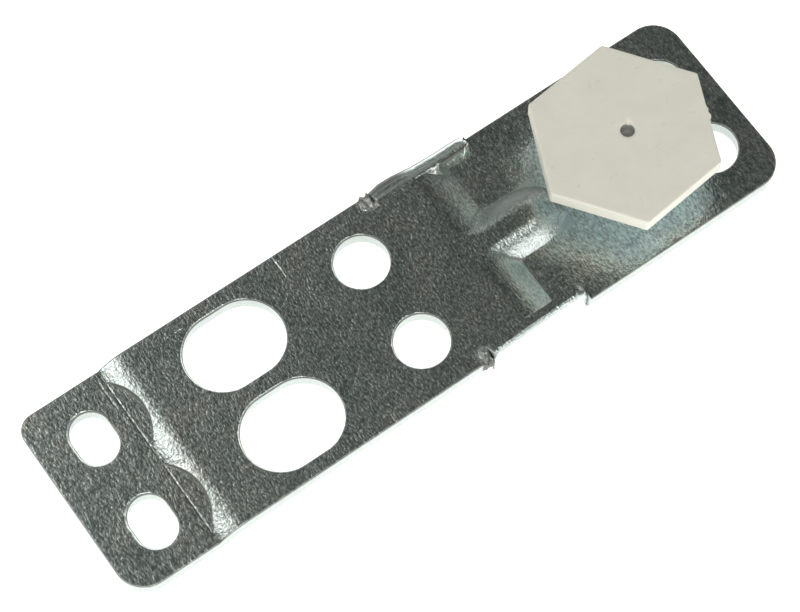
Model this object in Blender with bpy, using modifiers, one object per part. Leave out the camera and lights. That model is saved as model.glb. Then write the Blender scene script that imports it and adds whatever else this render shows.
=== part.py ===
"""Screw-adjustable foot on a pressed, zinc-plated steel mounting bracket.

The bracket is one strip of 3 mm sheet in three levels: a slotted fixing flange, a middle plate,
and a pad that carries the foot. The foot is a white moulded hexagon on a threaded steel stud,
which screws through a weld nut on the rear of the pad.

Frame: the origin is on the flange's rear face, midway between its two slots. +X runs along the
strip towards the foot, +Y across it, and +Z out of the front, the side that the foot stands on.
"""

import math

import bmesh
import bpy
from mathutils import Matrix

MM = 0.001
GAP = 0.3 * MM  # clearance between touching pieces
SINK = 0.02 * MM  # how far a joined shape sits under the face that it runs out of
OVERLAP = 0.2 * MM  # how deep two shapes that are joined reach into each other
BEYOND = 20.0 * MM  # a cutter that goes right through reaches this far above and below

# --- sheet -----------------------------------------------------------------------------------
SHEET = 3.0 * MM
WIDTH = 34.0 * MM
LEFT_END = -9.05 * MM
RIGHT_END = 115.95 * MM
FLANGE_FRONT = SHEET  # the flange's rear face is z = 0
MIDDLE_FRONT = FLANGE_FRONT + 1.5 * MM
PAD_FRONT = MIDDLE_FRONT - 2.5 * MM
PAD_REAR = PAD_FRONT - SHEET
CORNER_RADIUS = 5.0 * MM
SMALL_CORNER_RADIUS = 3.0 * MM  # the flange's corner on the +Y side
CORNER_STEPS = 8

# --- the two joggles: each ramp's low corner and high corner along X ----------------------------
FLANGE_RAMP = (7.05 * MM, 10.9 * MM)
PAD_RAMP = (71.3 * MM, 66.9 * MM)

# --- holes: centre X, half spacing across the strip, radius, half of the straight stretch -------
SLOT = {"x": 0.0, "y": 8.15 * MM, "radius": 3.3 * MM, "straight_x": 0.0, "straight_y": 1.2 * MM}
OBROUND = {"x": 25.9 * MM, "y": 7.95 * MM, "radius": 6.45 * MM, "straight_x": 2.0 * MM, "straight_y": 0.0}
ROUND = {"x": 50.1 * MM, "y": 8.15 * MM, "radius": 4.5 * MM, "straight_x": 0.0, "straight_y": 0.0}
PAD_HOLE = {"x": 108.3 * MM, "y": 7.1 * MM, "radius": 4.45 * MM, "straight_x": 0.0, "straight_y": 0.0}
HOLES = {"slot": SLOT, "obround": OBROUND, "round": ROUND, "pad_hole": PAD_HOLE}
HOLE_ARC_STEPS = 20  # per half turn
SPOT_FACE_RADIUS = 9.0 * MM
SPOT_FACE_DEPTH = 0.1 * MM  # below the flange's front face

# --- stiffening rib, pressed across the pad's joggle ---------------------------------------------
RIB_START = 65.0 * MM
RIB_END = 82.0 * MM
RIB_FOOT_HALF = 5.25 * MM
RIB_TOP_HALF = 2.6 * MM
CHANNEL_FOOT_HALF = 4.2 * MM  # the hollow on the rib's rear
CHANNEL_TOP_HALF = 1.5 * MM

# --- lips folded down along both edges -----------------------------------------------------------
LIP_START = 57.6 * MM
LIP_END = 76.05 * MM
LIP_SLIT = 0.4 * MM  # the cut that frees the lip's +X end from the pad
LIP_DEPTH = 7.0 * MM
LIP_FACE = {1: 18.0 * MM, -1: 16.8 * MM}  # the two lips don't stand equally far out
LIP_FOLD_RADIUS = 1.8 * MM
LIP_FOLD_STEPS = 6
LIP_CORNER_RADIUS = 1.6 * MM
LIP_TOP_CORNER_RADIUS = 0.1 * MM
NOTCH_X = 56.8 * MM
NOTCH_RADIUS = 0.9 * MM
NOTCH_SIDES = 24

# --- foot, stud and nut, on one axis -------------------------------------------------------------
STUD_X = 94.9 * MM
STUD_RADIUS = 4.0 * MM  # M8
STUD_TIP = -13.0 * MM
STUD_CHAMFER = 1.0 * MM
ANCHOR_RADIUS = 5.6 * MM  # the stud's flat head, moulded into the foot
ANCHOR_THICKNESS = 1.4 * MM
FOOT_FLATS = 27.0 * MM
FOOT_TURN = math.radians(36.5)  # one flat's normal, from +X
FOOT_SOLE = MIDDLE_FRONT + 7.3 * MM
FOOT_THICKNESS = 3.0 * MM
FOOT_EDGE = 0.5 * MM
COLLAR_RADIUS = 7.0 * MM
COLLAR_CLEARANCE = 1.55 * MM  # from the collar to the pad
ANCHOR_COVER = 1.9 * MM  # plastic over the stud's head
GATE_MARK_RADIUS = 1.2 * MM
GATE_MARK_DEPTH = 1.4 * MM
GATE_MARK_SIDES = 16
NUT_FLATS = 14.0 * MM
NUT_HEIGHT = 6.5 * MM
NUT_CHAMFER = 0.7 * MM
SPIGOT_RADIUS = 5.25 * MM
SPIGOT_HEIGHT = 1.8 * MM
THREAD_CLEARANCE = 0.3 * MM
ROUND_SIDES = 40


def clear_scene():
    for old in list(bpy.data.objects):
        bpy.data.objects.remove(old, do_unlink=True)


def new_collection(name):
    collection = bpy.data.collections.new(name)
    bpy.context.scene.collection.children.link(collection)
    return collection


def plain_material(name, colour, roughness, metallic):
    material = bpy.data.materials.new(name)
    material.use_nodes = True
    shader = material.node_tree.nodes["Principled BSDF"]
    shader.inputs["Base Color"].default_value = (*colour, 1.0)
    shader.inputs["Roughness"].default_value = roughness
    shader.inputs["Metallic"].default_value = metallic
    return material


def arc(centre, radius, start, end, steps):
    """Points on an arc, from the start angle to the end angle in degrees."""
    points = []
    for i in range(steps + 1):
        angle = math.radians(start + (end - start) * i / steps)
        points.append((centre[0] + radius * math.cos(angle), centre[1] + radius * math.sin(angle)))
    return points


def rounded_box_outline(low, high, radii):
    """A rectangle whose four corner radii run anticlockwise from the low, low corner."""
    corners = [(low[0], low[1]), (high[0], low[1]), (high[0], high[1]), (low[0], high[1])]
    inward = [(1, 1), (-1, 1), (-1, -1), (1, -1)]
    outline = []
    for i, (corner, side, radius) in enumerate(zip(corners, inward, radii)):
        centre = (corner[0] + side[0] * radius, corner[1] + side[1] * radius)
        outline += arc(centre, radius, 180 + 90 * i, 270 + 90 * i, CORNER_STEPS)
    return outline


def hole_outline(hole, side, radius=None):
    """A round hole, or one drawn out along X or Y, on the +Y (1) or -Y (-1) side."""
    radius = radius or hole["radius"]
    x, y = hole["x"], side * hole["y"]
    sx, sy = hole["straight_x"], hole["straight_y"]
    if sy:
        upper = arc((x, y + sy), radius, 0, 180, HOLE_ARC_STEPS)
        lower = arc((x, y - sy), radius, 180, 360, HOLE_ARC_STEPS)
        return upper + lower
    right = arc((x + sx, y), radius, -90, 90, HOLE_ARC_STEPS)
    left = arc((x - sx, y), radius, 90, 270, HOLE_ARC_STEPS)
    return right + left if sx else right[:-1] + left[:-1]


def prism(name, outline, low, high, collection, upright=False):
    """A flat outline given thickness: along Z, or along Y when it stands upright in X and Z."""
    curve = bpy.data.curves.new(name, "CURVE")
    curve.dimensions = "2D"
    curve.fill_mode = "BOTH"
    curve.extrude = (high - low) / 2
    spline = curve.splines.new("POLY")
    spline.points.add(len(outline) - 1)
    for point, (a, b) in zip(spline.points, outline):
        point.co = (a, b, 0.0, 1.0)
    spline.use_cyclic_u = True
    drawn = bpy.data.objects.new(name + "_outline", curve)
    bpy.context.scene.collection.objects.link(drawn)
    middle = (low + high) / 2
    if upright:
        drawn.matrix_world = Matrix.Translation((0, middle, 0)) @ Matrix.Rotation(math.pi / 2, 4, "X")
    else:
        drawn.matrix_world = Matrix.Translation((0, 0, middle))
    bpy.context.view_layer.update()
    depsgraph = bpy.context.evaluated_depsgraph_get()
    mesh = bpy.data.meshes.new_from_object(drawn.evaluated_get(depsgraph))
    mesh.name = name
    solid = bpy.data.objects.new(name, mesh)
    collection.objects.link(solid)
    solid.matrix_world = drawn.matrix_world.copy()
    bpy.data.objects.remove(drawn, do_unlink=True)
    bm = bmesh.new()
    bm.from_mesh(mesh)
    bmesh.ops.remove_doubles(bm, verts=bm.verts, dist=1e-6)
    bmesh.ops.recalc_face_normals(bm, faces=bm.faces)
    bm.to_mesh(mesh)
    bm.free()
    return solid


def mesh_object(name, bm, collection):
    mesh = bpy.data.meshes.new(name)
    bm.to_mesh(mesh)
    bm.free()
    made = bpy.data.objects.new(name, mesh)
    collection.objects.link(made)
    return made


def cylinder(name, radius, low, high, collection, sides=ROUND_SIDES, turn=0.0, x=0.0):
    bm = bmesh.new()
    placed = Matrix.Translation((x, 0, (low + high) / 2)) @ Matrix.Rotation(turn, 4, "Z")
    bmesh.ops.create_cone(
        bm, cap_ends=True, segments=sides, radius1=radius, radius2=radius, depth=high - low, matrix=placed
    )
    return mesh_object(name, bm, collection)


def tapered_block(name, x_range, z_range, foot_half, top_half, end_slope, collection):
    """A box whose sides, and whose +X end, lean in towards the top."""
    bm = bmesh.new()
    bmesh.ops.create_cube(bm, size=1.0)
    for vert in bm.verts:
        at_top = vert.co.z > 0
        at_end = vert.co.x > 0
        half = top_half if at_top else foot_half
        vert.co.y = math.copysign(half, vert.co.y)
        vert.co.x = x_range[1] if at_end else x_range[0]
        vert.co.x -= end_slope if at_end and at_top else 0.0
        vert.co.z = z_range[1] if at_top else z_range[0]
    return mesh_object(name, bm, collection)


def offset_line(line, distance):
    """The line moved sideways by a distance, kept parallel stretch by stretch."""
    slopes = [(b[1] - a[1]) / (b[0] - a[0]) for a, b in zip(line, line[1:])]
    angles = [math.atan(slope) for slope in slopes]
    moved = []
    for i, (x, z) in enumerate(line):
        before = angles[max(i - 1, 0)]
        after = angles[min(i, len(angles) - 1)]
        middle = (before + after) / 2
        reach = distance / math.cos((after - before) / 2)
        moved.append((x + reach * math.sin(middle), z - reach * math.cos(middle)))
    return moved


def boolean(target, tool, operation):
    modifier = target.modifiers.new(f"{operation.lower()}_{tool.name}", "BOOLEAN")
    modifier.operation = operation
    modifier.solver = "EXACT"
    modifier.object = tool
    tool.hide_render = True
    tool.display_type = "WIRE"


def sheet_profile():
    """The bent strip seen from the side: its front line, and its rear line one sheet below."""
    front = [
        (LEFT_END - SHEET, FLANGE_FRONT),
        (FLANGE_RAMP[0], FLANGE_FRONT),
        (FLANGE_RAMP[1], MIDDLE_FRONT),
        (PAD_RAMP[1], MIDDLE_FRONT),
        (PAD_RAMP[0], PAD_FRONT),
        (RIGHT_END + SHEET, PAD_FRONT),
    ]
    rear = offset_line(front, SHEET)
    return front + rear[::-1]


def through_cutter(name, outline, collection):
    """A cutter that goes right through the bracket along Z."""
    return prism(name, outline, -BEYOND, BEYOND, collection)


def lip_solid(side, cutters):
    """One lip: a strip folded down at the edge, with a rounded fold and rounded ends."""
    face = LIP_FACE[side]
    inner = face - SHEET
    top = MIDDLE_FRONT - SINK
    bottom = MIDDLE_FRONT - LIP_DEPTH
    across = [(side * inner, top), (side * inner, bottom - MM), (side * face, bottom - MM)]
    fold_centre = (side * (face - LIP_FOLD_RADIUS), top - LIP_FOLD_RADIUS)
    start = 0 if side > 0 else 180
    across += arc(fold_centre, LIP_FOLD_RADIUS, start, 90, LIP_FOLD_STEPS)
    lip = prism(f"lip_section_{side:+d}", across, LIP_START - MM, LIP_END + MM, cutters)
    # The section is drawn in Y and Z, so it is turned to run along X.
    along_x = Matrix(((0, 0, 1, 0), (1, 0, 0, 0), (0, 1, 0, 0), (0, 0, 0, 1)))
    lip.data.transform(along_x @ lip.matrix_world)
    lip.matrix_world = Matrix.Identity(4)
    low = (LIP_START, bottom)
    high = (LIP_END, MIDDLE_FRONT + SHEET)
    radii = (LIP_CORNER_RADIUS, LIP_CORNER_RADIUS, LIP_TOP_CORNER_RADIUS, LIP_TOP_CORNER_RADIUS)
    outline = rounded_box_outline(low, high, radii)
    ends = prism(f"lip_ends_{side:+d}", outline, -WIDTH, WIDTH, cutters, upright=True)
    boolean(lip, ends, "INTERSECT")
    return lip


def add_rib(bracket, cutters):
    """The rib on the front and the hollow behind it, both leaning in towards the top."""
    rib_z = (PAD_FRONT - SHEET / 2, MIDDLE_FRONT - SINK)
    channel_z = (PAD_REAR - GAP, MIDDLE_FRONT - SHEET)
    lean = RIB_FOOT_HALF - RIB_TOP_HALF
    steepness = lean / (MIDDLE_FRONT - PAD_FRONT)
    foot_half = RIB_TOP_HALF + steepness * (rib_z[1] - rib_z[0])
    rib = tapered_block("rib", (RIB_START, RIB_END), rib_z, foot_half, RIB_TOP_HALF, lean, cutters)
    boolean(bracket, rib, "UNION")
    channel = tapered_block(
        "rib_channel",
        (RIB_START - SHEET, RIB_END - SHEET / 2),
        channel_z,
        CHANNEL_FOOT_HALF,
        CHANNEL_TOP_HALF,
        lean,
        cutters,
    )
    boolean(bracket, channel, "DIFFERENCE")


def add_lip(bracket, side, cutters):
    """One lip in place of the strip's own edge, and the relief notch at its start."""
    room_y = sorted((side * (LIP_FACE[side] - SHEET + OVERLAP), side * WIDTH))
    low = (LIP_START, room_y[0])
    high = (LIP_END + LIP_SLIT, room_y[1])
    room = rounded_box_outline(low, high, [LIP_TOP_CORNER_RADIUS] * 4)
    boolean(bracket, through_cutter(f"lip_room_{side:+d}", room, cutters), "DIFFERENCE")
    boolean(bracket, lip_solid(side, cutters), "UNION")
    turn = 360 - 360 / NOTCH_SIDES
    notch = arc((NOTCH_X, side * WIDTH / 2), NOTCH_RADIUS, 0, turn, NOTCH_SIDES - 1)
    boolean(bracket, through_cutter(f"notch_{side:+d}", notch, cutters), "DIFFERENCE")


def cut_holes(bracket, side, cutters):
    for name, hole in HOLES.items():
        cutter = through_cutter(f"{name}_{side:+d}", hole_outline(hole, side), cutters)
        boolean(bracket, cutter, "DIFFERENCE")
    spot = hole_outline({**SLOT, "straight_y": 0.0}, side, SPOT_FACE_RADIUS)
    floor = FLANGE_FRONT - SPOT_FACE_DEPTH
    boolean(bracket, prism(f"spot_face_{side:+d}", spot, floor, BEYOND, cutters), "DIFFERENCE")


def build_bracket(parts, cutters):
    bracket = prism("bracket", sheet_profile(), -WIDTH, WIDTH, parts, upright=True)
    radii = (CORNER_RADIUS, CORNER_RADIUS, CORNER_RADIUS, SMALL_CORNER_RADIUS)
    outline = rounded_box_outline((LEFT_END, -WIDTH / 2), (RIGHT_END, WIDTH / 2), radii)
    boolean(bracket, through_cutter("strip_outline", outline, cutters), "INTERSECT")
    add_rib(bracket, cutters)
    for side in (-1, 1):
        add_lip(bracket, side, cutters)
        cut_holes(bracket, side, cutters)
    bore = cylinder("stud_bore", SPIGOT_RADIUS + GAP, -BEYOND, BEYOND, cutters, x=STUD_X)
    boolean(bracket, bore, "DIFFERENCE")
    bracket.data.materials.append(plain_material("zinc_plate", (0.47, 0.49, 0.47), 0.3, 1.0))


def hexagon_corner(flats):
    """The radius to a hexagon's corners, from its size across flats."""
    return flats / 2 / math.cos(math.pi / 6)


def build_nut(parts, cutters):
    """Hexagonal weld nut on the pad's rear, its spigot in the pad's bore."""
    top = PAD_REAR - GAP
    corner_radius = hexagon_corner(NUT_FLATS)
    nut = cylinder("weld_nut", corner_radius, top - NUT_HEIGHT, top, parts, sides=6, x=STUD_X)
    spigot = cylinder("nut_spigot", SPIGOT_RADIUS, top - GAP, top + SPIGOT_HEIGHT, cutters, x=STUD_X)
    boolean(nut, spigot, "UNION")
    thread = cylinder("nut_thread", STUD_RADIUS + THREAD_CLEARANCE, -BEYOND, BEYOND, cutters, x=STUD_X)
    boolean(nut, thread, "DIFFERENCE")
    cone = bmesh.new()
    bmesh.ops.create_cone(
        cone,
        cap_ends=True,
        segments=ROUND_SIDES,
        radius1=corner_radius - NUT_CHAMFER,
        radius2=corner_radius - NUT_CHAMFER + 2 * NUT_HEIGHT,
        depth=2 * NUT_HEIGHT,
        matrix=Matrix.Translation((STUD_X, 0, top)),
    )
    # Its wall rises at 45 degrees from the nut's lower face, so only the lower corners are cut.
    boolean(nut, mesh_object("nut_corner_cone", cone, cutters), "INTERSECT")
    nut.data.materials.append(plain_material("nut_steel", (0.5, 0.51, 0.52), 0.35, 1.0))


def build_stud(parts):
    """Turned stud: a flat head at the top, a plain cylinder for the thread, a chamfered tip."""
    anchor_top = FOOT_SOLE - ANCHOR_COVER - GAP
    anchor_low = anchor_top - ANCHOR_THICKNESS
    profile = [
        (0.0, anchor_top),
        (ANCHOR_RADIUS, anchor_top),
        (ANCHOR_RADIUS, anchor_low),
        (STUD_RADIUS, anchor_low),
        (STUD_RADIUS, STUD_TIP + STUD_CHAMFER),
        (STUD_RADIUS - STUD_CHAMFER, STUD_TIP),
        (0.0, STUD_TIP),
    ]
    mesh = bpy.data.meshes.new("threaded_stud")
    edges = [(i, i + 1) for i in range(len(profile) - 1)]
    mesh.from_pydata([(radius, 0.0, z) for radius, z in profile], edges, [])
    stud = bpy.data.objects.new("threaded_stud", mesh)
    parts.objects.link(stud)
    stud.location = (STUD_X, 0, 0)
    screw = stud.modifiers.new("turn", "SCREW")
    screw.axis = "Z"
    screw.steps = ROUND_SIDES
    screw.render_steps = ROUND_SIDES
    screw.use_merge_vertices = True
    screw.merge_threshold = 1e-6
    stud.data.materials.append(plain_material("stud_steel", (0.55, 0.56, 0.56), 0.3, 1.0))


def build_foot(parts, cutters):
    """Moulded hexagonal foot: a hexagonal plate on a round collar, moulded round the stud's head."""
    collar_low = PAD_FRONT + COLLAR_CLEARANCE
    plate_low = FOOT_SOLE - FOOT_THICKNESS
    pocket_top = FOOT_SOLE - ANCHOR_COVER
    pocket_low = pocket_top - ANCHOR_THICKNESS - 2 * GAP
    mark_low = FOOT_SOLE - GATE_MARK_DEPTH
    corner_turn = FOOT_TURN + math.pi / 6
    foot = cylinder("hex_foot", hexagon_corner(FOOT_FLATS), -FOOT_THICKNESS, 0, parts, 6, corner_turn)
    foot.location = (STUD_X, 0, FOOT_SOLE)
    edges = foot.modifiers.new("edges", "BEVEL")
    edges.width = FOOT_EDGE
    edges.segments = 2
    edges.limit_method = "ANGLE"
    collar = cylinder("collar", COLLAR_RADIUS, collar_low, plate_low + GAP, cutters, x=STUD_X)
    boolean(foot, collar, "UNION")
    bore_radius = STUD_RADIUS + THREAD_CLEARANCE
    bore = cylinder("foot_bore", bore_radius, collar_low - GAP, pocket_low + GAP, cutters, x=STUD_X)
    boolean(foot, bore, "DIFFERENCE")
    pocket = cylinder("anchor_pocket", ANCHOR_RADIUS + GAP, pocket_low, pocket_top, cutters, x=STUD_X)
    boolean(foot, pocket, "DIFFERENCE")
    mark = cylinder(
        "gate_mark", GATE_MARK_RADIUS, mark_low, FOOT_SOLE + GAP, cutters, GATE_MARK_SIDES, x=STUD_X
    )
    boolean(foot, mark, "DIFFERENCE")
    foot.data.materials.append(plain_material("foot_plastic", (0.8, 0.79, 0.74), 0.5, 0.0))


def smooth_round_pieces(parts):
    for part in parts.objects:
        part.data.shade_smooth()
        part.data.set_sharp_from_angle(angle=math.radians(30))


def main():
    clear_scene()
    parts = new_collection("adjustable_foot_bracket")
    cutters = new_collection("cutters")
    build_bracket(parts, cutters)
    build_nut(parts, cutters)
    build_stud(parts)
    build_foot(parts, cutters)
    smooth_round_pieces(parts)


main()
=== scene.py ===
import math

import bmesh
import bpy
import numpy as np
from mathutils import Euler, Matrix, Vector, kdtree, noise
from mathutils.geometry import delaunay_2d_cdt


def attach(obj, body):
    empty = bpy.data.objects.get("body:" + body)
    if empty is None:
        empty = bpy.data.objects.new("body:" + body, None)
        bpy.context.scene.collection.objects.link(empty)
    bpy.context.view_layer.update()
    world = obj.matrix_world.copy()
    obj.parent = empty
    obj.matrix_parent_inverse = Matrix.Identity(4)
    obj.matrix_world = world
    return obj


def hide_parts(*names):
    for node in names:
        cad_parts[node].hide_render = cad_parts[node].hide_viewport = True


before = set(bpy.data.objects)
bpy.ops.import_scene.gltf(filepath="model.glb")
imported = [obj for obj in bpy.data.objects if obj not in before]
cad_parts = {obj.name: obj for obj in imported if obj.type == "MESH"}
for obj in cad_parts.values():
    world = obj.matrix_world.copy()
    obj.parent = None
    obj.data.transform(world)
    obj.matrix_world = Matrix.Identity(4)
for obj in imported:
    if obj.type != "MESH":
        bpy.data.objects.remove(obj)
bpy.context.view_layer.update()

# Lengths in this file are in millimetres until a mesh is made, in the CAD's own frame.
MM = 0.001

# --- sheet ------------------------------------------------------------------------------------
SHEET = 3.0
HALF_WIDTH = 17.0
LEFT_END = -9.05
RIGHT_END = 115.95
FLANGE = 3.0  # the front faces' heights
MIDDLE = 4.5
PAD = 2.0
FLANGE_RAMP = (6.3, 10.9)  # along X, on the front
FLANGE_RAMP_REAR_RUN = 3.85
PAD_RAMP = (66.9, 71.3)
PAD_RAMP_ROUND = 1.3  # how far the bend at its top is rounded
BETWEEN_RAMPS = 40.0
CORNERS = (5.0, 5.0, 5.0, 3.0)  # radii, anticlockwise from the flange's -Y corner

# --- holes ------------------------------------------------------------------------------------
SLOT_Y = 8.15
# Each pair's centre x, half spacing, radius, and half of its straight stretch along x and along y.
HOLES = (
    (0.0, SLOT_Y, 3.3, 0.0, 1.2),
    (25.9, 7.95, 6.45, 2.0, 0.0),
    (50.1, 8.15, 4.5, 0.0, 0.0),
    (108.1, 6.95, 4.35, 0.0, 0.0),
)
BORE = (94.9, 0.0, 5.55)  # for the nut's spigot: centre x and y, radius
SLOTS_END = 10.0  # holes left of this are the slots
SPOT_RADIUS = 9.0  # each slot has a round spot face, which cuts a half-moon into the ramp
SPOT_WALL = 0.10

# --- rib, and the channel behind it ---------------------------------------------------------------
RIB_FOOT = 5.25  # half its width at the pad
RIB_CROWN = 1.0  # half the width of its flat top
RIB_ROUND = 75.8  # where its end starts to round off
RIB_END = 83.0
RIB_VALLEY = 0.9  # rounding where it meets the joggle
CHANNEL_CROWN = 1.5
CHANNEL_WALL = 3.0
CHANNEL_END = 81.0

# --- lips -------------------------------------------------------------------------------------------
# The sheet is laid out flat before it is folded, so |y| runs on past the edge, round the fold and down
# the lip. Sizes with 1 and -1 are the +Y lip's and the -Y lip's.
LIP_RANGE = (57.75, 76.05)
LIP_SLIT = 0.12
LIP_START = 15.0
LIP_REACH = 8.14
LIP_BOTTOM = -2.5
LIP_INNER = {1: 14.9, -1: 13.8}
LIP_INNER_ROUND = 0.35
LIP_INNER_FOLD = 0.386  # the share of the lip's reach at which its inner face points sideways
LIP_DRAW_START = 13.2  # the sheet's rear is drawn in from here
LIP_WALL = {1: 15.02, -1: 14.3}  # the step that faces the pad
LIP_WALL_RUN = 0.10
LIP_END_ROUND = 1.5
LIP_CORNER = 1.6
LIP_STATIONS = (58.0, 60.0, 62.5, 66.0, 70.0)  # where along a lip its face and its fold are measured
LIP_FACE = {1: (17.7, 18.15, 18.2, 18.0, 17.85), -1: (16.8, 16.75, 16.7, 16.6, 16.5)}
LIP_RADII = {1: (1.6, 1.7, 2.0, 2.8, 2.85), -1: (1.0, 1.0, 1.0, 1.0, 1.0)}
FILLET = 1.3  # the metal that is dragged up to the +Y lip
TEAR = (56.8, 16.3)
TEAR_REACH = 1.9

# --- punched edges ----------------------------------------------------------------------------------
EDGE_ROLL = (0.16, 0.45)  # how wide and how steep the front is drawn in
SLOT_ROLL = (0.28, 1.50, 0.20)  # and how far off-centre the punch was
HOLE_ROLL = (0.22, 1.50, 0.12)
ROLL_ROWS = (0.07, 0.14, 0.2, 0.27, 0.34, 0.42, 0.5, 0.6, 0.72)  # rows of points, from the edge
OUTLINE_ROWS = ROLL_ROWS[:4]
WALL_LEVELS = (0.1, 0.28, 0.5, 0.56, 0.8)  # down a punched wall, from the front to the rear

# --- foot, stud and nut -----------------------------------------------------------------------
AXIS_X = 94.9
FOOT_SOLE = 11.8
FOOT_THICKNESS = 3.0
FOOT_FLATS = 27.5
FOOT_TURN = math.radians(36.5)  # one flat's normal, from +X
FOOT_EDGE = 0.3
FOOT_CORNER = 0.4
FOOT_COLUMNS = 360
FOOT_CENTRE = (-0.16, -0.23)  # the moulding isn't quite centred on its stud
GATE_CENTRE = (0.5, -0.1)
GATE_MOUTH = 1.3
FLASH = (12.6, -5.4)  # where the flash is squeezed out, from the stud's axis
FLASH_TURN = math.radians(-23.5)
COLLAR_RADIUS = 7.0
COLLAR_LOW = 3.55
STUD_TIP = -13.0
STUD_TOP = 4.4
PITCH = 1.25
THREAD_COLUMNS = 64
NUT_FLATS = 14.0
NUT_CORNER = 0.35
NUT_BOTTOM = -7.8
NUT_CHAMFER_RADIUS = 7.45
NUT_COLUMNS = 120

STUD_TINT = (0.62, 0.63, 0.62)
NUT_TINT = (0.55, 0.56, 0.55)

# --- studio -----------------------------------------------------------------------------------
CAMERA_PLACE = (-0.04807, -0.13703, 0.41191)  # in metres
CAMERA_TURN = (0.39035, -0.005626, -0.615684)
CAMERA_LENS = 127.18
DARK_WAY = (0.42, 0.31, 0.86)  # the unlit part of the ceiling, which the flat faces mirror
CEILING_LEVELS = ((0.2, 0.13), (0.74, 0.24), (0.9, 0.18), (0.95, 0.125), (0.985, 0.108), (0.9985, 0.01))
AIM = (0.055, 0.0, 0.0)  # the strip's middle, in metres, where the lights point
# Each light's name, way from the strip, distance in metres, size in metres and radiance.
LIGHTS = (
    ("softbox_left", (-0.55, 0.46, 0.72), 0.9, (0.45, 0.45), 2.0),
    ("softbox_left_halo", (-0.24, 0.55, 0.80), 1.0, (0.4, 0.6), 0.35),
    ("softbox_front", (0.25, -0.88, 0.42), 0.9, (0.5, 0.52), 1.7),
    ("softbox_corner", (-0.60, -0.60, 0.53), 1.0, (0.6, 0.6), 1.9),
    ("softbox_top", (-0.25, -0.38, 0.89), 1.0, (0.6, 0.6), 3.6),
    ("fill_back", (0.2, 0.80, 0.56), 1.0, (0.7, 0.4), 0.2),
)
FLOOR_RINGS = (100, 300, 800, 1800, 3500)
FLOOR_SIDES = 64
FLOOR_CENTRE_X = 50
FLOOR_GAP = 0.05


# --- small tools ------------------------------------------------------------------------------
def smooth_min(a, b, k):
    """The smaller of a and b, rounded over where they differ by less than k."""
    blend = np.maximum(k - np.abs(a - b), 0.0) / k
    return np.minimum(a, b) - blend * blend * k / 4


def smooth_max(a, b, k):
    return -smooth_min(-a, -b, k)


def smooth_step(value):
    """0 below 0, 1 above 1 and an S-curve between."""
    value = np.clip(value, 0.0, 1.0)
    return value * value * (3 - 2 * value)


def bell(value, centre, width):
    """A bump of height 1 at the centre."""
    return np.exp(-(((value - centre) / width) ** 2))


def noise_at(points, scale, seed):
    """One smooth random number for each point, from -1 to 1."""
    shift = Vector((seed * 17.3, seed * 5.1, seed * 9.7))
    return np.array([noise.noise(Vector(p) * scale + shift) for p in points])


def mesh_object(name, verts, faces, sharp_angle):
    """A smooth-shaded object from points in millimetres; edges past sharp_angle degrees stay crisp."""
    mesh = bpy.data.meshes.new(name)
    mesh.from_pydata([tuple(v) for v in np.asarray(verts) * MM], [], faces)
    mesh.validate()
    mesh.update()
    mesh.shade_smooth()
    mesh.set_sharp_from_angle(angle=math.radians(sharp_angle))
    made = bpy.data.objects.new(name, mesh)
    bpy.context.scene.collection.objects.link(made)
    return made


# --- the bracket's flat pattern -----------------------------------------------------------------
def arc_points(centre, radius, start, end, spacing=0.3):
    """Points along an arc, with both its ends; the angles are in degrees."""
    steps = max(3, int(abs(math.radians(end - start)) * radius / spacing))
    angles = np.radians(np.linspace(start, end, steps + 1))
    return [(centre[0] + radius * math.cos(a), centre[1] + radius * math.sin(a)) for a in angles]


def line_points(a, b, spacing=0.3):
    """Points from a up to, but without, b."""
    steps = max(1, int(math.dist(a, b) / spacing))
    return [(a[0] + (b[0] - a[0]) * i / steps, a[1] + (b[1] - a[1]) * i / steps) for i in range(steps)]


def closed_line(corners, spacing=0.3):
    """Evenly spaced points round a polygon."""
    points = []
    for a, b in zip(corners, corners[1:] + corners[:1]):
        points += line_points(a, b, spacing)
    return points


def lip_outline(side):
    """The corners of one lip in the flat pattern, from low x to high x."""
    low, high = LIP_RANGE
    end = LIP_START + LIP_REACH
    # The torn relief is a narrow, pointed gap.
    corners = [(57.35, HALF_WIDTH), (57.42, 16.3), (57.5, 15.6), (57.57, 15.15), (57.65, 15.6), (low, 16.3)]
    corners += arc_points((low + LIP_CORNER, end - LIP_CORNER), LIP_CORNER, 180, 90)
    corners += arc_points((high - LIP_CORNER, end - LIP_CORNER), LIP_CORNER, 90, 0)
    far = high + LIP_SLIT
    corners += [(high, 15.2), ((high + far) / 2, 15.1), (far, 15.2), (far, HALF_WIDTH)]
    return [(x, side * y) for x, y in corners]


def strip_outline():
    """The flat sheet's outline, anticlockwise."""
    corners = arc_points((LEFT_END + CORNERS[0], -HALF_WIDTH + CORNERS[0]), CORNERS[0], 180, 270)
    corners += lip_outline(-1)
    corners += arc_points((RIGHT_END - CORNERS[1], -HALF_WIDTH + CORNERS[1]), CORNERS[1], 270, 360)
    corners += arc_points((RIGHT_END - CORNERS[2], HALF_WIDTH - CORNERS[2]), CORNERS[2], 0, 90)
    corners += lip_outline(1)[::-1]
    corners += arc_points((LEFT_END + CORNERS[3], HALF_WIDTH - CORNERS[3]), CORNERS[3], 90, 180)
    return closed_line(corners)


def hole_outline(hole, side):
    """One hole of a pair, clockwise."""
    x, y, radius, straight_x, straight_y = hole
    y *= side
    if straight_y:
        corners = arc_points((x, y + straight_y), radius, 0, 180)
        corners += arc_points((x, y - straight_y), radius, 180, 360)
    else:
        corners = arc_points((x + straight_x, y), radius, -90, 90)
        corners += arc_points((x - straight_x, y), radius, 90, 270)
    return closed_line(corners)[::-1]


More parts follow.
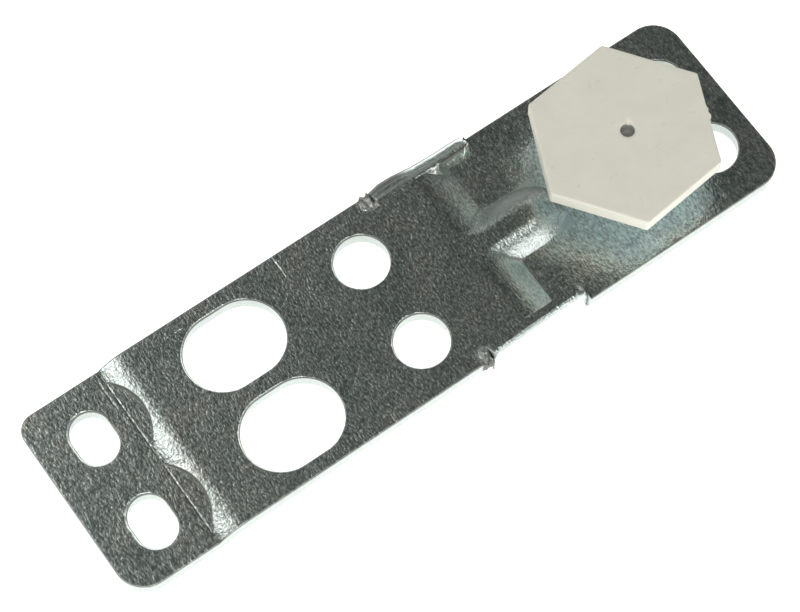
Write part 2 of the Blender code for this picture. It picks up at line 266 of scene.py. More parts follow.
def without_repeats(points):
    """A closed line's points with those that fall on their neighbour left out."""
    kept = []
    for p in points:
        if not kept or math.dist(p, kept[-1]) > 0.02:
            kept.append(p)
    if math.dist(kept[0], kept[-1]) < 0.02:
        kept.pop()
    return np.array(kept)


def distance_to(points, loop):
    """Shortest distance from each point to a closed line."""
    start = loop
    step = np.roll(loop, -1, axis=0) - start
    length2 = (step**2).sum(1)
    best = np.full(len(points), 1e9)
    for first in range(0, len(points), 2000):
        part = points[first : first + 2000]
        to = part[:, None, :] - start[None]
        along = np.clip((to * step[None]).sum(2) / length2[None], 0, 1)
        off = to - along[..., None] * step[None]
        best[first : first + 2000] = np.sqrt((off**2).sum(2).min(1))
    return best


def inside(points, loop):
    """Which points lie inside a closed line."""
    x, y = points[:, 0], points[:, 1]
    result = np.zeros(len(points), bool)
    for (x1, y1), (x2, y2) in zip(loop, np.roll(loop, -1, axis=0)):
        crosses = (y1 > y) != (y2 > y)
        if y1 != y2:
            result ^= crosses & (x < (x2 - x1) * (y - y1) / (y2 - y1) + x1)
    return result


def in_material(points, outline, holes):
    """Which points lie on the sheet and not over a hole."""
    result = inside(points, outline)
    for hole in holes:
        result &= ~inside(points, hole)
    return result


def into_material(loop):
    """For each corner of a loop that keeps the sheet on its left, the way into the sheet."""
    along = np.roll(loop, -1, axis=0) - np.roll(loop, 1, axis=0)
    along /= np.linalg.norm(along, axis=1)[:, None]
    return np.stack([-along[:, 1], along[:, 0]], 1)


def graded(stops):
    """Positions along one axis: (end, spacing) stretches, each starting where the last ended."""
    values = [stops[0][0]]
    for (start, _), (end, spacing) in zip(stops, stops[1:]):
        count = max(1, round((end - start) / spacing))
        values += [start + (end - start) * (i + 1) / count for i in range(count)]
    return np.array(values)


def grid_points():
    """A grid over the sheet, finer along its ramps, creases, rib and folds."""
    xs = graded([
        (-9.0, 0), (4.9, 0.75), (5.9, 0.11), (6.0, 0.3), (6.7, 0.07), (11.4, 0.3), (38.2, 0.8), (39.4, 0.1),
        (56.0, 0.8), (66.0, 0.55), (70.6, 0.22), (72.0, 0.1), (82.0, 0.5), (86.5, 0.25), (115.9, 0.8),
    ])
    half = graded([
        (0, 0), (5.0, 0.3), (5.6, 0.08), (12.6, 0.7), (14.5, 0.17), (15.2, 0.1), (18.6, 0.16), (23.2, 0.6),
    ])
    ys = np.concatenate([-half[:0:-1], half])
    gx, gy = np.meshgrid(xs, ys)
    return np.stack([gx.ravel(), gy.ravel()], 1)


def spot_face_points():
    """Rows of points along the foot and the top of the step that each spot face cuts into the ramp."""
    points = []
    for side in (-1, 1):
        for offset in (-0.08, 0.0, SPOT_WALL, SPOT_WALL + 0.08):
            points += arc_points((0.0, side * SLOT_Y), SPOT_RADIUS + offset, -40, 40, 0.14)
    points = np.array(points)
    return points[points[:, 0] > FLANGE_RAMP[0]]


def by_side(y, values):
    """The value for the +Y side or for the -Y side, point by point."""
    return np.where(y > 0, values[1], values[-1])


def lip_wall_line(x, y):
    """Where the pad side of a lip rises, |y| at each x: straight, then rounded round the lip's end."""
    end = np.clip((x - (LIP_RANGE[1] - LIP_END_ROUND)) / LIP_END_ROUND, 0, 1)
    return by_side(y, LIP_WALL) + 1.3 * (1 - np.sqrt(1 - 0.98 * end**2))


def lip_wall_points():
    """Rows of points along the foot and the top of each lip's step."""
    xs = np.concatenate([np.arange(69.8, 74.5, 0.25), np.arange(74.5, LIP_RANGE[1] - 0.05, 0.07)])
    points = []
    for side in (-1, 1):
        for offset in (-0.06, 0.0, LIP_WALL_RUN, LIP_WALL_RUN + 0.07):
            row = side * (lip_wall_line(xs, np.full_like(xs, side)) + offset)
            points += list(zip(xs, row))
    return np.array(points)


def tear_points():
    """A fine grid over each torn relief."""
    offsets = np.arange(-1.7, 1.71, 0.17)
    points = [(TEAR[0] + a, side * (TEAR[1] + b)) for side in (-1, 1) for a in offsets for b in offsets]
    return np.array(points)


def clear_of(points, others, gap):
    """Which points lie further than gap from all the others."""
    tree = kdtree.KDTree(len(others))
    for i, (x, y) in enumerate(others):
        tree.insert((x, y, 0.0), i)
    tree.balance()
    return np.array([tree.find((x, y, 0.0))[2] > gap for x, y in points])


def edge_rows(loops):
    """Rows of points beside every punched edge, left out where another edge is nearer."""
    outline, holes = loops[0], loops[1:]
    rows = []
    for loop in loops:
        inward = into_material(loop)
        for reach in OUTLINE_ROWS if loop is outline else ROLL_ROWS:
            row = loop + inward * reach
            nearest = np.min([distance_to(row, other) for other in loops], axis=0)
            rows.append(row[(nearest > 0.96 * reach) & in_material(row, outline, holes)])
    return np.concatenate(rows)


def pattern_points(loops):
    """All the flat pattern's points, the loops' own first."""
    outline, holes = loops[0], loops[1:]
    edges = [np.concatenate(loops), edge_rows(loops)]
    special = np.concatenate([spot_face_points(), lip_wall_points(), tear_points()])
    special = special[in_material(special, outline, holes)]
    special = special[clear_of(special, np.concatenate(edges), 0.06)]
    base = np.concatenate([*edges, special])
    grid = grid_points()
    grid = grid[in_material(grid, outline, holes)]
    grid = grid[clear_of(grid, base, 0.11)]
    return np.concatenate([base, grid])


def drawn_down(verts, loops):
    """How far the punched edges draw each point of the front down."""
    # The slit at a lip's end is a shear cut, whose edges don't roll.
    at_slit = (np.abs(verts[:, 0] - LIP_RANGE[1]) < 0.6) & (np.abs(verts[:, 1]) > 14.5)
    sunk = np.where(at_slit, 0.0, roll(distance_to(verts, loops[0]), *EDGE_ROLL))
    for hole in loops[1:]:
        width, slope, shift = SLOT_ROLL if hole[:, 0].max() < SLOTS_END else HOLE_ROLL
        moved = hole - (shift, 0.0)
        distance = distance_to(verts, moved)
        distance = np.where(inside(verts, moved), -distance, distance)
        sunk = np.maximum(sunk, roll(distance, width, slope))
    return sunk


def flat_pattern():
    """The sheet as flat triangles, and the closed lines round it and round its holes."""
    outline = without_repeats(strip_outline())
    holes = [without_repeats(hole_outline(hole, side)) for hole in HOLES for side in (-1, 1)]
    holes.append(without_repeats(closed_line(arc_points(BORE[:2], BORE[2], 0, 360))[::-1]))
    loops = [outline] + holes

    edges = []
    first = 0
    for loop in loops:
        count = len(loop)
        edges += [(first + i, first + (i + 1) % count) for i in range(count)]
        first += count
    points = [Vector(p) for p in pattern_points(loops)]
    verts, _, triangles, *_ = delaunay_2d_cdt(points, edges, [], 0, 1e-7)
    verts = np.array([tuple(v) for v in verts])
    triangles = np.array([tuple(t) for t in triangles])
    triangles = triangles[in_material(verts[triangles].mean(1), outline, holes)]
    return verts, triangles, loops


# --- the bracket's shape ----------------------------------------------------------------------------
def flange_front(x, y):
    """The flange, its ramp and the spot faces that cut into the ramp."""
    along = np.clip((x - FLANGE_RAMP[0]) / (FLANGE_RAMP[1] - FLANGE_RAMP[0]), 0, 1)
    ramp = (MIDDLE - FLANGE) * (1 - (1 - along) ** 2)
    past_spot = np.hypot(x, np.abs(y) - SLOT_Y) - SPOT_RADIUS
    return FLANGE + ramp * np.clip(past_spot / SPOT_WALL, 0, 1)


def pad_front(x, y):
    """The ramp down to the pad, the rib across it and the lips' tops."""
    across = np.abs(y)
    steep = (MIDDLE - PAD) / (PAD_RAMP[1] - PAD_RAMP[0])
    ramp = smooth_min(MIDDLE, MIDDLE - (x - PAD_RAMP[0]) * steep, PAD_RAMP_ROUND)
    beyond = np.maximum(x - RIB_ROUND, 0) * RIB_FOOT / (RIB_END - RIB_ROUND)
    down_rib = np.clip((np.hypot(across, beyond) - RIB_CROWN) / (RIB_FOOT - RIB_CROWN), 0, 1.2)
    rib = PAD + (MIDDLE - PAD) * (1 - down_rib**1.7)
    height = smooth_max(PAD, smooth_max(ramp, rib, RIB_VALLEY), 0.04)
    height = np.minimum(height, MIDDLE)

    in_lip = (x >= LIP_RANGE[0]) & (x <= LIP_RANGE[1] + 0.02)
    fillet = FILLET * smooth_step((x - 67.3) / 1.5) * smooth_step((70.5 - x) / 0.9) * (y > 0)
    up = smooth_step((across - lip_wall_line(x, y) + fillet) / (LIP_WALL_RUN + fillet)) * in_lip
    return height + (lip_top(x) - height) * up


def front_height(x, y):
    """Front face of the pressed strip, before its edges roll over."""
    return np.where(x < BETWEEN_RAMPS, flange_front(x, y), pad_front(x, y))


def lip_top(x):
    """The lip keeps the middle plate's level and rounds down at its +X end."""
    end = np.clip((x - (LIP_RANGE[1] - LIP_END_ROUND)) / LIP_END_ROUND, 0, 1)
    return MIDDLE - 1.1 * (1 - np.sqrt(1 - 0.96 * end**2))


def rear_height(x, y):
    """Rear face of the strip, with the channel behind the rib."""
    across = np.abs(y)
    steep = (MIDDLE - FLANGE) / FLANGE_RAMP_REAR_RUN
    rise = FLANGE + (x - FLANGE_RAMP[0]) * steep - SHEET * math.hypot(1, steep)
    left = smooth_max(0.0, smooth_min(MIDDLE - SHEET, rise, 0.1), 0.5)
    steep = (MIDDLE - PAD) / (PAD_RAMP[1] - PAD_RAMP[0])
    fall = MIDDLE - (x - PAD_RAMP[0]) * steep - SHEET * math.hypot(1, steep)
    into_wall = np.maximum(across - CHANNEL_CROWN, x - CHANNEL_END)
    channel = MIDDLE - SHEET - into_wall * (MIDDLE - PAD) / CHANNEL_WALL
    right = smooth_max(PAD - SHEET, smooth_min(MIDDLE - SHEET, np.maximum(fall, channel), 0.3), 0.6)
    return np.where(x < BETWEEN_RAMPS, left, right)


def roll(distance, width, slope):
    """How far a punched edge is drawn down at a distance from it."""
    return smooth_max(0.0, (width - distance) * slope, 0.035)


def die_marks(x, y):
    """Fine lines that the press tool's edges left."""
    in_moon = np.hypot(x, np.abs(y) - SLOT_Y) < SPOT_RADIUS + 0.2
    crease = 0.09 * bell(x, FLANGE_RAMP[0], 0.12) * np.where(in_moon, 0.6, 1.0)
    second = 0.06 * bell(x, 5.4, 0.12) * smooth_step((15.6 - y) / 0.8) * smooth_step((y - 10.0) / 0.8)
    upper = 0.07 * bell(x, 38.8, 0.14) * smooth_step((y - 12.6) / 1.2)
    lower = 0.05 * bell(x, 38.9, 0.14) * smooth_step((-14.6 - y) / 0.8)
    return crease + second + upper + lower


def along_lip(x, v, values):
    """A lip's size read between its stations along X."""
    return np.where(v > 0, np.interp(x, LIP_STATIONS, values[1]), np.interp(x, LIP_STATIONS, values[-1]))


def fold_over(x, v):
    """Where a flat-pattern point beyond the fold's start lies: outer point, outward way, inner point."""
    side = np.sign(v)
    radius = along_lip(x, v, LIP_RADII)
    top = lip_top(x)
    flat = along_lip(x, v, LIP_FACE) - radius - LIP_START
    curl = radius * math.pi / 2
    straight = top - radius - LIP_BOTTOM
    travelled = (np.abs(v) - LIP_START) / LIP_REACH * (flat + curl + straight)
    angle = np.clip((travelled - flat) / curl, 0, 1) * math.pi / 2
    down = np.maximum(travelled - flat - curl, 0)
    y = LIP_START + np.minimum(travelled, flat) + radius * np.sin(angle)
    z = top - radius * (1 - np.cos(angle)) - down
    outer = np.stack([x, side * y, z], 1)
    way = np.stack([np.zeros_like(x), side * np.sin(angle), np.cos(angle)], 1)

    share = (np.abs(v) - LIP_START) / LIP_REACH
    turn = np.clip(share / LIP_INNER_FOLD, 0, 1) * math.pi / 2
    rear = rear_height(x, by_side(v, LIP_INNER))
    inner_y = by_side(v, LIP_INNER) - LIP_INNER_ROUND + LIP_INNER_ROUND * np.sin(turn)
    below = np.clip((share - LIP_INNER_FOLD) / (1 - LIP_INNER_FOLD), 0, 1)
    inner_z = rear - LIP_INNER_ROUND + LIP_INNER_ROUND * np.cos(turn)
    inner_z = inner_z + (LIP_BOTTOM - (rear - LIP_INNER_ROUND)) * below
    inner = np.stack([x, side * inner_y, inner_z], 1)
    return outer, way, inner


def crumple(points, amount):
    """Torn, crushed metal where each lip's relief was ripped instead of cut."""
    moved = points.copy()
    for side in (-1, 1):
        away = np.hypot(points[:, 0] - TEAR[0], (points[:, 1] - side * TEAR[1]) * 0.8)
        near = np.nonzero(away < TEAR_REACH)[0]
        strength = smooth_step(TEAR_REACH - away[near]) * amount
        for axis, reach, seed in ((0, 0.22, 3), (1, 0.30, 5), (2, 0.5, 8)):
            wobble = noise_at(points[near], 1.35, seed + side) + 0.5 * noise_at(points[near], 3.1, seed + 11)
            moved[near, axis] += reach * strength * wobble
        peaks = bell(points[near, 0], 56.1, 0.35) + 1.2 * bell(points[near, 0], 57.3, 0.3)
        burr = peaks * smooth_step((side * points[near, 1] - 15.8) / 1.0)
        moved[near, 1] += side * 0.5 * burr * strength
    return moved


def close_slits(flat):
    """Bring the pad's bank of each lip's slit up to the lip, and say which points those are."""
    x, v = flat[:, 0], flat[:, 1]
    bank = (x > LIP_RANGE[1] + LIP_SLIT / 2) & (x < LIP_RANGE[1] + 0.3) & (np.abs(v) > LIP_START)
    x[bank] -= LIP_SLIT - 0.01
    return bank


def two_faces(flat, sunk, bank):
    """The front and the rear point of the pressed and folded sheet for each flat point."""
    x, v = flat[:, 0], flat[:, 1]
    front = np.stack([x, v, front_height(x, v) - die_marks(x, v)], 1)
    rear = np.stack([x, v, rear_height(x, v)], 1)
    way = np.zeros((len(flat), 3))
    way[:, 2] = 1.0

    lip = (x >= LIP_RANGE[0] - 0.01) & (x <= LIP_RANGE[1] + 0.005) & ~bank
    near = lip & (np.abs(v) > LIP_DRAW_START) & (np.abs(v) <= LIP_START)
    share = (by_side(v, LIP_INNER) - LIP_INNER_ROUND - LIP_DRAW_START) / (LIP_START - LIP_DRAW_START)
    rear[near, 1] = (np.sign(v) * (LIP_DRAW_START + (np.abs(v) - LIP_DRAW_START) * share))[near]
    folded = lip & (np.abs(v) > LIP_START)
    outer, out_way, inner = fold_over(x[folded], v[folded])
    front[folded], way[folded], rear[folded] = outer, out_way, inner

    wave = 0.05 * noise_at(front, 0.11, 1) + 0.02 * noise_at(front, 0.33, 2) + 0.006 * noise_at(front, 0.9, 4)
    # On the lips the waves would pass the object's box, so they stop where a lip starts.
    front = front - way * sunk[:, None] + way * (wave * (np.abs(v) < LIP_START))[:, None]
    return crumple(front, 1.0), crumple(rear, 0.4)


def border_edges(triangles):
    """The edges that only one triangle uses, each in its triangle's direction."""
    directed = set()
    for a, b, c in triangles:
        directed.update(((a, b), (b, c), (c, a)))
    return [edge for edge in directed if (edge[1], edge[0]) not in directed]


def torn_by(point, level):
    """How rough a punched wall is: smooth where it was sheared, torn below."""
    if level <= 0.5:
        return 0.0
    return 0.035 * noise.noise(Vector(point) * 2.2 + Vector((0, 0, level * 9)))


def sheet_solid(front, rear, triangles):
    """Points and faces of the front, the rear and the walls between them, torn in their lower half."""
    count = len(front)
    border = border_edges(triangles)
    verts = list(front) + list(rear)
    wall = {}
    for a, _ in border:
        between = []
        for level in WALL_LEVELS:
            between.append(len(verts))
            torn = torn_by(front[a], level)
            verts.append(front[a] + (rear[a] - front[a]) * level + np.array([torn, -torn, 0.0]))
        wall[a] = [a] + between + [a + count]
    faces = [tuple(t) for t in triangles]
    faces += [(a + count, c + count, b + count) for a, b, c in triangles]
    for a, b in border:
        for upper, lower, lower_next, upper_next in zip(wall[a], wall[a][1:], wall[b][1:], wall[b]):
            faces.append((upper, lower, lower_next, upper_next))
    return verts, faces


def bracket_mesh():
    flat, triangles, loops = flat_pattern()
    sunk = drawn_down(flat, loops)
    bank = close_slits(flat)
    front, rear = two_faces(flat, sunk, bank)
    verts, faces = sheet_solid(front, rear, triangles.tolist())
    strip = mesh_object("bracket_strip", verts, faces, 42)
    paint_bracket(strip, np.array(verts), flat, loops, sunk)
    return strip


def paint_bracket(strip, verts, flat, loops, sunk):
    """How dull the plating is, with painted shade along the edges, steps, slit and +Y lip, and how polished
    it is at each point: the front, the rear, then the walls.
    """
    x, v = flat[:, 0], flat[:, 1]
    front = slice(0, len(flat))
    walls = (np.arange(len(verts)) >= 2 * len(flat)).astype(float)
    at_tear = (np.abs(verts[:, 0] - TEAR[0]) < 1.4) & (np.abs(verts[:, 1]) > 13.5)
    at_slit = (np.abs(verts[:, 0] - LIP_RANGE[1]) < 0.5) & (verts[:, 1] > 13.5)
    # The reliefs' torn walls are dull bare metal; the +Y slit's walls are painted shade.
    ripped = walls * (at_tear | at_slit)
    edge = np.min([distance_to(flat, loop) for loop in loops], axis=0)
    # Painted shade: a thin dark line along every punched edge and hole rim.
    edge_painted_shade = 0.85 * smooth_step((0.18 - edge) / 0.08)
    dull_and_painted_shade = np.maximum(0.95 * ripped, 0.28 * walls)
    dull_and_painted_shade[front] = np.maximum(dull_and_painted_shade_places(x, v), edge_painted_shade)
    polished = walls * (1 - ripped)
    polished[front] = polished_places(x, v, sunk)
    paint(strip, "dull_and_painted_shade", dull_and_painted_shade)
    paint(strip, "polished", polished)


def paint(piece, name, values):
    """A number at each vertex, which the material reads by name."""
    attribute = piece.data.attributes.new(name, "FLOAT", "POINT")
    attribute.data.foreach_set("value", values.astype(np.float32))


def dull_and_painted_shade_places(x, v):
    """Painted shade on the front along the steps, the +Y slit, the rib's +Y side and the +Y lip's outer face
    and fold, and dull torn metal round the torn reliefs.
    """
    across = np.abs(v)
    past_spot = np.hypot(x, across - SLOT_Y) - SPOT_RADIUS
    on_wall = (x > FLANGE_RAMP[0]) & (past_spot > -0.02) & (past_spot < SPOT_WALL + 0.02)
    from_lip = across - lip_wall_line(x, v)
    on_lip = (x > 70.2) & (x < LIP_RANGE[1]) & (from_lip > -0.02) & (from_lip < LIP_WALL_RUN + 0.02)
    away = np.hypot(x - TEAR[0], (across - TEAR[1]) * 0.8)
    torn = 0.5 * smooth_step((TEAR_REACH - away) / 0.9)
    upper_lip = (v > 0) & (x > LIP_RANGE[0]) & (x <= LIP_RANGE[1])
    # Painted shade along the +Y lip's outer face, out to its silhouette.
    lip_rim_painted_shade = 0.9 * smooth_step((across - 17.3) / 0.2) * smooth_step((19.8 - across) / 0.9) * upper_lip
    # Painted shade on the rib's +Y side.
    shaded = 0.35 * smooth_step((v - 1.5) / 1.0) * smooth_step((5.35 - v) / 0.1) * (x > 71.0) * (x < 81.0)
    # Painted shade on the +Y lip's fold, left of x 66.
    drawn = 0.8 * smooth_step((across - 16.2) / 0.3) * smooth_step((66.0 - x) / 3.0) * upper_lip
    # A painted dark reflection along the +Y lip's fold.
    fold_painted_reflection = 0.55 * bell(across, 15.6, 0.22) * smooth_step((70.5 - x) / 1.5) * upper_lip
    end = (np.abs(x - LIP_RANGE[1]) < 0.25) & (v > 14.6)
    # Painted shade on the spot faces' step walls, on each lip's step towards the pad (full on +Y, light on
    # -Y) and in the +Y slit at the lip's end.
    steps = (0.85 * on_wall, np.where(v > 0, 1.0, 0.3) * on_lip, 1.0 * end)
    return np.max([*steps, torn, lip_rim_painted_shade, shaded, drawn, fold_painted_reflection], axis=0)


def polished_places(x, v, sunk):
    """Where the sheet is drawn smooth and bright: folds, rims, ramps and the rib's sides."""
    across = np.abs(v)
    lip = (x > LIP_RANGE[0]) & (x <= LIP_RANGE[1])
    folds = smooth_step((across - 15.4) / 0.5) * lip
    rims = 0.6 * smooth_step(sunk / 0.1)
    right = 0.35 * smooth_step(x - 67.0) * smooth_step((71.35 - x) / 0.1)
    rib = 0.75 * smooth_step(x - 67.0) * smooth_step((RIB_END - x) / 2.0)
    rib = rib * smooth_step((5.3 - across) / 0.1) * smooth_step((across - 1.5) / 1.5)
    left = 0.55 * smooth_step((x - 6.6) / 0.4) * smooth_step((FLANGE_RAMP[1] - x) / 3.0)
    left = left * (np.hypot(x, across - SLOT_Y) > SPOT_RADIUS + SPOT_WALL)
    return np.max([folds, rims, right, rib, left], axis=0)


# --- foot ------------------------------------------------------------------------------------------
def hex_radius(angle, flats, corner):
    """Distance from the axis to a hexagon with rounded corners, one flat facing angle 0."""
    folded = (angle + math.pi / 6) % (math.pi / 3) - math.pi / 6
    half = flats / 2
    reach = half / math.cos(folded)
    # Inside the rounded stretch the outline is a circle about the corner's own centre.
    inner = half - corner
    centre = inner / math.cos(math.pi / 6)
    off = math.pi / 6 - abs(folded)
    across = centre * math.sin(off)
    if half * math.tan(abs(folded)) > inner * math.tan(math.pi / 6):
        reach = centre * math.cos(off) + math.sqrt(max(corner**2 - across**2, 0.0))
    return reach


def rounded_edge(z, way):
    """Rings round the hexagon's upper edge (way 1) or its lower edge (way -1), whose flat face is at z."""
    rings = []
    for step in range(6):
        angle = math.radians(18 * step)
        inset = FOOT_EDGE * (1 - math.cos(angle))
        rings.append(("inset", inset, z + way * FOOT_EDGE * (math.sin(angle) - 1)))
    return rings


def foot_rings():
    """The foot's rings from the gate mark's bottom outwards and down: kind, size, z from the sole."""
    gate = ((0.3, -2.0), (0.6, -2.0), (0.85, -1.9), (1.02, -1.5), (1.08, -0.9), (1.12, -0.35), (1.18, -0.07))
    rings = [("gate", radius, z) for radius, z in gate + ((GATE_MOUTH, 0.0),)]
    shares = (0.04, 0.1, 0.18, 0.27, 0.37, 0.48, 0.6, 0.7, 0.8, 0.88, 0.94, 0.975, 1.0)
    rings += [("mixed", share, 0.0) for share in shares]
    rings += rounded_edge(0.0, 1)[:5][::-1]
    for share in (0.25, 0.5, 0.75):
        rings.append(("inset", 0.0, -FOOT_EDGE - share * (FOOT_THICKNESS - 2 * FOOT_EDGE)))
    rings += rounded_edge(-FOOT_THICKNESS, -1)
    low = COLLAR_LOW - FOOT_SOLE
    collar = (
        (9.0, -FOOT_THICKNESS),
        (COLLAR_RADIUS + 0.7, -FOOT_THICKNESS),
        (COLLAR_RADIUS + 0.2, -FOOT_THICKNESS - 0.15),
        (COLLAR_RADIUS, -FOOT_THICKNESS - 0.6),
        (COLLAR_RADIUS, low + 0.4),
        (COLLAR_RADIUS - 0.12, low + 0.12),
        (COLLAR_RADIUS - 0.4, low),
        (4.6, low),
        (4.25, low + 0.3),
        (4.15, low + 3.0),
    )
    return rings + [("round", radius, z) for radius, z in collar]


def foot_point(kind, size, z, angle, reach):
    """A ring's point at an angle, where the hexagon's outline is at a distance reach."""
    radius = size
    centre = Vector((0.0, 0.0))
    if kind == "gate":
        centre = Vector(GATE_CENTRE)
    elif kind == "mixed":
        radius = GATE_MOUTH + (reach - FOOT_EDGE - GATE_MOUTH) * size
        centre = Vector(GATE_CENTRE).lerp(Vector(FOOT_CENTRE), size)
    elif kind == "inset":
        radius = reach - size
        centre = Vector(FOOT_CENTRE)
    turned = angle + FOOT_TURN
    x = centre.x + radius * math.cos(turned)
    y = centre.y + radius * math.sin(turned)
    return shaped_foot(Vector((x, y, FOOT_SOLE + z)))


def hex_foot_mesh():
    angles = [2 * math.pi * i / FOOT_COLUMNS for i in range(FOOT_COLUMNS)]
    outline = [hex_radius(a, FOOT_FLATS, FOOT_CORNER) for a in angles]
    rings = foot_rings()
    verts = [foot_point(*ring, angle, reach) for ring in rings for angle, reach in zip(angles, outline)]
    faces = ring_faces(len(rings), FOOT_COLUMNS)
    faces.append(tuple(range(FOOT_COLUMNS)))
    faces.append(tuple(range((len(rings) - 1) * FOOT_COLUMNS, len(rings) * FOOT_COLUMNS))[::-1])
    points = np.array([tuple(v) for v in verts]) + np.array([AXIS_X, 0, 0])
    foot = mesh_object("foot_hexagon", points, faces, 50)
    # Painted light: the underside and the collar get a pale blue cast, which the pad mirrors.
    hidden = points[:, 2] < FOOT_SOLE - FOOT_THICKNESS + 0.05
    paint(foot, "underside_painted_light", hidden.astype(float))
    # Painted shade: the deep inside of the gate mark is painted dark.
    gate_painted_shade = np.array([kind == "gate" and z < -0.3 for kind, _, z in rings])
    paint(foot, "gate", np.repeat(gate_painted_shade.astype(float), FOOT_COLUMNS))
    return foot


def ring_faces(rings, columns):
    """Quads between rings of points that follow each other."""
    faces = []
    for ring in range(rings - 1):
        for i in range(columns):
            a, b = ring * columns + i, ring * columns + (i + 1) % columns
            faces.append((a, a + columns, b + columns, b))
    return faces


def shaped_foot(point):
    """The torn nick beside the gate mark, flash on one side and the sole's slight waves."""
    x, y, z = point
    down = (FOOT_SOLE - z) / FOOT_THICKNESS
    radius = math.hypot(x, y)
    # Flash: two beads squeezed out at the mould's parting line, on the side that faces +X and -Y.
    along = (y - FLASH[1]) * math.cos(FLASH_TURN) - (x - FLASH[0]) * math.sin(FLASH_TURN)
    bead = bell(along, 0.0, 0.55) + 0.6 * bell(along, 1.2, 0.35)
    if radius > 12.5 and x > 0 and down < 0.6:
        x += 0.35 * bead * math.cos(FLASH_TURN)
        y += 0.35 * bead * math.sin(FLASH_TURN)
    nick = bell(x, GATE_CENTRE[0] + 0.75, 0.34) * bell(y, GATE_CENTRE[1] + 0.85, 0.42)
    if z > FOOT_SOLE - 1.2:
        z -= 0.45 * nick
    ridge = Vector((x, y, 0)) * 0.6
    if radius > 1.9 and down < 0.05:
        z += 0.035 * noise.noise(ridge) + 0.012 * noise.noise(ridge * 4)
    return Vector((x, y, z))


# --- stud ------------------------------------------------------------------------------------------
def stud_mesh():
    """M8 thread: each turn is crest, flank, root, flank, swept along the helix."""
    section = ((0.0, 3.93), (0.17, 3.93), (0.56, 3.30), (0.84, 3.30))  # height and radius
    turns = int((STUD_TOP - STUD_TIP) / PITCH) + 3
    total = turns * THREAD_COLUMNS + 1
    verts = []
    for step in range(total):
        angle = 2 * math.pi * step / THREAD_COLUMNS
        base = STUD_TIP - 1.5 * PITCH + PITCH * step / THREAD_COLUMNS
        for up, radius in section:
            z = min(max(base + up, STUD_TIP), STUD_TOP)
            # Both ends are chamfered.
            r = min(radius, 3.0 + (z - STUD_TIP), 3.25 + (STUD_TOP - z))
            verts.append((AXIS_X + r * math.cos(angle), r * math.sin(angle), z))
    faces = []
    wide = len(section)
    for step in range(total - 1):
        for k in range(wide):
            a = step * wide + k
            if k < wide - 1:
                faces.append((a, a + wide, a + wide + 1, a + 1))
            elif step + 1 + THREAD_COLUMNS < total:
                # The last strip of a turn meets the first of the next turn.
                next_turn = (step + THREAD_COLUMNS) * wide
                faces.append((a, a + wide, next_turn + wide, next_turn))
    thread = mesh_object("stud_thread", verts, faces, 25)
    close_ends(thread)
    return thread


def close_ends(thread):
    """Weld what the ends squashed flat, and cap them."""
    bm = bmesh.new()
    bm.from_mesh(thread.data)
    bmesh.ops.remove_doubles(bm, verts=bm.verts, dist=2e-6)
    bmesh.ops.dissolve_degenerate(bm, edges=bm.edges, dist=1e-6)
    loose = [v for v in bm.verts if not v.link_faces]
    bmesh.ops.delete(bm, geom=loose, context="VERTS")
    bmesh.ops.holes_fill(bm, edges=bm.edges, sides=0)
    bmesh.ops.recalc_face_normals(bm, faces=bm.faces)
    bm.to_mesh(thread.data)
    bm.free()


# --- nut -------------------------------------------------------------------------------------------
def nut_mesh():
    """A closed ring of sections: spigot, hexagon with a chamfered lower side, and the bore."""
    angles = [2 * math.pi * i / NUT_COLUMNS for i in range(NUT_COLUMNS)]
    outline = [hex_radius(a, NUT_FLATS, NUT_CORNER) for a in angles]
    top = PAD - SHEET
    full = NUT_FLATS  # wider than the hexagon anywhere, so it doesn't cut the corners
    rings = (
        ("round", 4.15, 0.7),
        ("round", 5.25, 0.6),
        ("round", 5.25, top + 0.02),
        ("hex", full, top + 0.02),
        ("hex", full, top - 0.35),
        ("hex", full, NUT_BOTTOM + 0.75),
        ("hex", NUT_CHAMFER_RADIUS + 0.25, NUT_BOTTOM + 0.38),
        ("hex", NUT_CHAMFER_RADIUS - 0.1, NUT_BOTTOM + 0.05),
        ("hex", NUT_CHAMFER_RADIUS - 0.3, NUT_BOTTOM),
        ("round", 5.0, NUT_BOTTOM),
        ("round", 4.55, NUT_BOTTOM + 0.12),
        ("round", 4.1, NUT_BOTTOM + 0.6),
        ("round", 4.1, 0.0),
        ("round", 4.15, 0.7),
    )
    verts = []
    for kind, size, z in rings:
        for angle, reach in zip(angles, outline):
            radius = size if kind == "round" else min(size, reach)
            verts.append((AXIS_X + radius * math.cos(angle), radius * math.sin(angle), z))
    return mesh_object("weld_nut_body", verts, ring_faces(len(rings), NUT_COLUMNS), 30)


